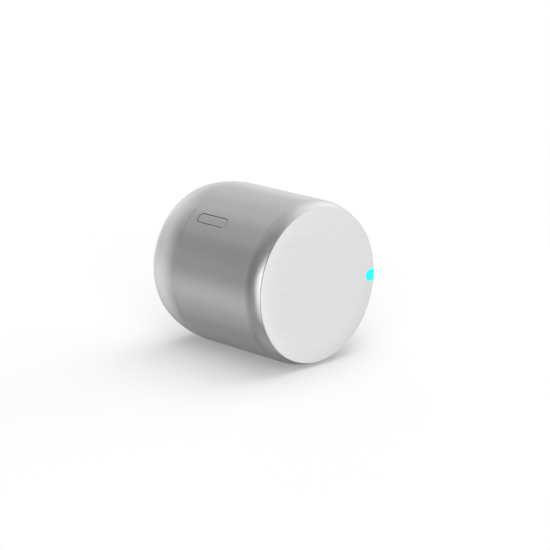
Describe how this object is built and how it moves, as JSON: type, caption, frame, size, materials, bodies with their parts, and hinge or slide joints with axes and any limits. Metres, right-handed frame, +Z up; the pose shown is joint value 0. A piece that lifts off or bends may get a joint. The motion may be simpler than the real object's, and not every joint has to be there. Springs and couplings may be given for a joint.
{
  "type": "smart lock",
  "caption": "compact cylindrical motor-driven knob for a door lock, with a satin metal sleeve, a domed rear collar, a flat front disc, a push button and a status light",
  "frame": {"origin": "centre of the rear face on the lock's axis, at the mouth of the cylinder socket", "axes": "+Y along the lock's axis into the door, so the front disc faces -Y; +Z up as mounted; +X to the right seen from the front"},
  "size_m": [0.045, 0.0477, 0.045],
  "materials": {
    "satin_metal": "satin bead-blasted aluminium",
    "face_metal": "fine matt aluminium with a crowned rim",
    "button_metal": "satin aluminium",
    "light": "lit cyan diffuser",
    "rubber": "matt black rubber",
    "machined_steel": "turned steel",
    "bearing_steel": "ground bearing steel",
    "screw_steel": "plated steel",
    "gear_steel": "sintered steel",
    "brass": "machined brass",
    "gear_plastic": "natural acetal",
    "cast_zinc": "die-cast, unpainted",
    "motor_metal": "plated motor can",
    "dark_iron": "dark iron and ferrite",
    "black_plastic": "moulded black plastic",
    "battery_wrap": "battery wrap",
    "foam": "soft foam",
    "board": "green circuit board",
    "shield": "tinned shield"
  },
  "bodies": {
    "base": {"rear_collar": "satin_metal", "door_pad": "rubber", "adapter_hub": "machined_steel", "hub_screws": "screw_steel", "clamp_screw": "screw_steel", "ring_gear": "gear_steel", "ring_gear_screws": "screw_steel", "bearing_inner_race": "bearing_steel", "bearing_circlip": "machined_steel", "seam_slide_ring": "gear_plastic"},
    "ball_cage": {"bearing_balls": "bearing_steel", "bearing_cage": "gear_plastic"},
    "knob": {"outer_sleeve": "satin_metal", "front_cap": "face_metal", "light_guide": "light", "cap_seal": "rubber", "charge_insert": "black_plastic", "charge_pins": "brass", "rotor_plate": "cast_zinc", "bearing_outer_race": "bearing_steel", "bearing_retainer": "cast_zinc", "retainer_screws": "screw_steel", "spindle_coupling": "machined_steel", "coupling_screw": "screw_steel", "gear_cover_plate": "cast_zinc", "lower_standoffs": "brass", "upper_standoffs": "brass", "frame_screws": "screw_steel", "board_screws": "screw_steel", "sleeve_screws": "screw_steel", "axle_pins": "machined_steel", "drive_bushes": "brass", "motor_can": "motor_metal", "motor_magnets": "dark_iron", "motor_bush": "brass", "motor_end_cap": "black_plastic", "motor_screws": "screw_steel", "battery_tray": "black_plastic", "battery_cells": "battery_wrap", "battery_pad": "foam", "board_carrier": "black_plastic", "main_board": "board", "board_chips": "black_plastic", "radio_can": "shield", "status_lamp": "light", "switch_bracket": "cast_zinc", "switch_board": "board", "button_switch": "black_plastic"},
    "button": {"button_cap": "button_metal", "switch_plunger": "black_plastic"},
    "armature": {"motor_armature": "dark_iron", "motor_commutator": "brass", "motor_shaft": "machined_steel", "motor_pinion": "brass"},
    "first_gear": {"first_wheel": "gear_plastic"},
    "second_gear": {"second_wheel": "gear_plastic"},
    "drive": {"drive_axle": "machined_steel", "drive_gear": "gear_steel", "drive_pinion": "gear_steel"}
  },
  "joints": [
    {"name": "knob_turn", "type": "hinge", "parent": "base", "child": "knob", "pos_m": [0, 0, 0], "axis": [0, 1, 0], "continuous": true},
    {"name": "cage_turn", "type": "hinge", "parent": "base", "child": "ball_cage", "pos_m": [0, 0, 0], "axis": [0, 1, 0], "continuous": true},
    {"name": "drive_turn", "type": "hinge", "parent": "knob", "child": "drive", "pos_m": [0, 0, -0.015], "axis": [0, 1, 0], "continuous": true},
    {"name": "second_turn", "type": "hinge", "parent": "knob", "child": "second_gear", "pos_m": [0, 0, -0.0082], "axis": [0, 1, 0], "continuous": true},
    {"name": "first_turn", "type": "hinge", "parent": "knob", "child": "first_gear", "pos_m": [-0.00865, 0, -0.00505], "axis": [0, 1, 0], "continuous": true},
    {"name": "armature_turn", "type": "hinge", "parent": "knob", "child": "armature", "pos_m": [-0.01103, 0, 0.00383], "axis": [0, 1, 0], "continuous": true},
    {"name": "button_press", "type": "slide", "parent": "knob", "child": "button", "axis": [0.6972, 0, -0.7169], "range_m": [0, 0.0004], "stiffness_N_per_m": 800, "springref_m": -0.0006}
  ],
  "couplings": [
    {"joint": "cage_turn", "follows": "knob_turn", "ratio": 0.55556},
    {"joint": "drive_turn", "follows": "knob_turn", "ratio": -6},
    {"joint": "second_turn", "follows": "knob_turn", "ratio": 14.4},
    {"joint": "first_turn", "follows": "knob_turn", "ratio": -51.84},
    {"joint": "armature_turn", "follows": "knob_turn", "ratio": 186.62}
  ]
}
